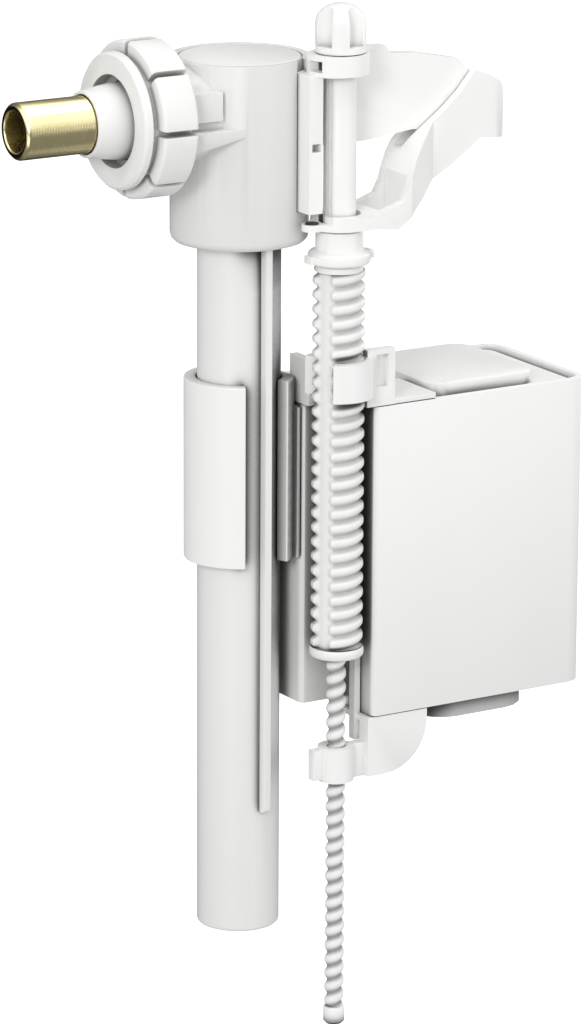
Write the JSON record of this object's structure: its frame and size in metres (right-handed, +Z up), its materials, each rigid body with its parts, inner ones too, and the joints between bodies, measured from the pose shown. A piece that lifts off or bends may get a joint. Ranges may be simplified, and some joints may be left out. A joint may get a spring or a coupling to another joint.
{
  "type": "toilet fill valve",
  "caption": "Side-inlet float valve for a toilet cistern: brass tail, castellated union nut, lever arm, threaded float spindle, box float and long downpipe.",
  "frame": {"origin": "middle of the inlet boss's front shoulder, on the inlet axis, where the valve meets the cistern wall", "axes": "+X runs from the inlet to the float, +Z is up along the downpipe, -Y is the side of the spindle"},
  "size_m": [0.1821, 0.0586, 0.312],
  "materials": {
    "brass": "turned brass with a satin sheen",
    "valve_plastic": "white moulded plastic, softly glossy",
    "arm_plastic": "white moulded plastic, softly glossy",
    "spindle_plastic": "white moulded plastic, softly glossy",
    "pipe_plastic": "white extruded plastic, smooth",
    "float_plastic": "white moulded plastic, satin",
    "inner_plastic": "off-white moulded plastic, satin",
    "rubber": "black rubber, matt"
  },
  "bodies": {
    "valve": {"inlet_tail": "brass", "inlet_bush": "valve_plastic", "union_washer": "rubber", "inlet_strainer": "inner_plastic", "flow_restrictor": "inner_plastic", "valve_body": "valve_plastic", "body_cap": "valve_plastic", "diaphragm": "rubber", "lever_bracket": "arm_plastic", "pilot_nozzle": "inner_plastic", "lever_pin": "arm_plastic", "downpipe": "pipe_plastic", "downpipe_seal": "rubber"},
    "nut": {"union_nut": "valve_plastic"},
    "lever": {"lever": "arm_plastic", "pilot_pad": "rubber"},
    "carrier": {"swivel_collar": "arm_plastic"},
    "spindle": {"spindle": "spindle_plastic", "spindle_knob": "spindle_plastic"},
    "float": {"float_shell": "float_plastic", "float_lid": "float_plastic", "float_guide": "float_plastic", "upper_clip": "float_plastic", "lower_clip": "float_plastic", "float_foot": "float_plastic"},
    "main_valve": {"diaphragm_insert": "inner_plastic"}
  },
  "joints": [
    {"name": "nut_spin", "type": "hinge", "parent": "valve", "child": "nut", "pos_m": [0.0173, 0, 0], "axis": [1, 0, 0], "continuous": true},
    {"name": "spindle_lift", "type": "slide", "parent": "valve", "child": "carrier", "axis": [0, 0, 1], "range_m": [0, 0.002]},
    {"name": "lever_pivot", "type": "hinge", "parent": "valve", "child": "lever", "pos_m": [0.1251, -0.015, -0.0052], "axis": [0, 1, 0], "range_deg": [0, 2.19]},
    {"name": "float_adjust", "type": "slide", "parent": "carrier", "child": "float", "axis": [0, 0, 1], "range_m": [-0.07, 0.022]},
    {"name": "spindle_turn", "type": "hinge", "parent": "carrier", "child": "spindle", "pos_m": [0.0727, -0.0223, -0.0382], "axis": [0, 0, 1], "range_deg": [-1850, 5800]},
    {"name": "main_valve_lift", "type": "slide", "parent": "valve", "child": "main_valve", "axis": [0, 0, 1], "range_m": [0, 0.003]}
  ],
  "couplings": [
    {"joint": "lever_pivot", "follows": "spindle_lift", "rad_per_m": 19.084},
    {"joint": "spindle_turn", "follows": "float_adjust", "rad_per_m": -1428}
  ]
}
